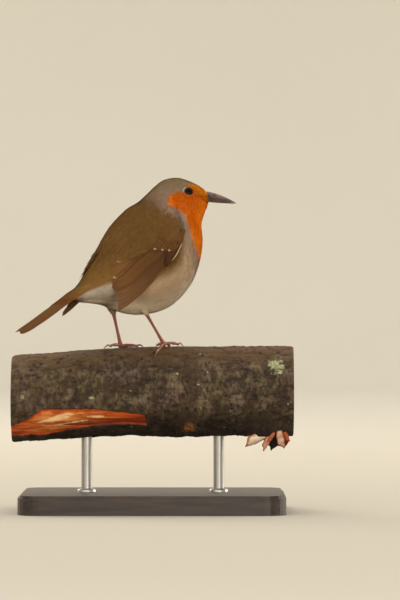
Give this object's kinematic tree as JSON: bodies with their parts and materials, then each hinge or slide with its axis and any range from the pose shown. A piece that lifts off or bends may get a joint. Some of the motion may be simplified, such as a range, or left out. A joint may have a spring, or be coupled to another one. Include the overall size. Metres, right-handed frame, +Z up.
{
  "type": "robin model",
  "caption": "Life-size still model of a European robin with its head turned back, standing on a cut length of branch that a plain display stand holds.",
  "frame": {"origin": "middle of the stand base's underside", "axes": "+Z up; +X along the branch, from under the tail to under the bill; -Y towards the side from which the bird's right wing and the right side of its face are seen"},
  "size_m": [0.132, 0.096, 0.1569],
  "materials": {
    "plumage_back": "soft olive-brown feathers",
    "plumage_breast": "soft orange feathers, fading to grey and buff on the body",
    "eye": "polished, nearly black",
    "bill": "dark horn, satin",
    "leg": "scaled, reddish brown",
    "claw": "horn, satin",
    "bark": "rough bark with lichen",
    "board": "dark stained, satin",
    "rod": "satin"
  },
  "bodies": {
    "root": {"bill_lower": "bill", "bill_upper": "bill", "claw_left_1": "claw", "claw_left_2": "claw", "claw_left_3": "claw", "claw_left_4": "claw", "claw_right_1": "claw", "claw_right_2": "claw", "claw_right_3": "claw", "claw_right_4": "claw", "eye_left": "eye", "eye_right": "eye", "head": "plumage_breast", "leg_left": "leg", "leg_right": "leg", "neck": "plumage_back", "perch_branch": "bark", "stand_base": "board", "stand_rod_1": "rod", "stand_rod_2": "rod", "tail": "plumage_back", "thigh_left": "plumage_back", "thigh_right": "plumage_back", "trunk": "plumage_back", "wing_left": "plumage_back", "wing_right": "plumage_back"}
  },
  "joints": []
}
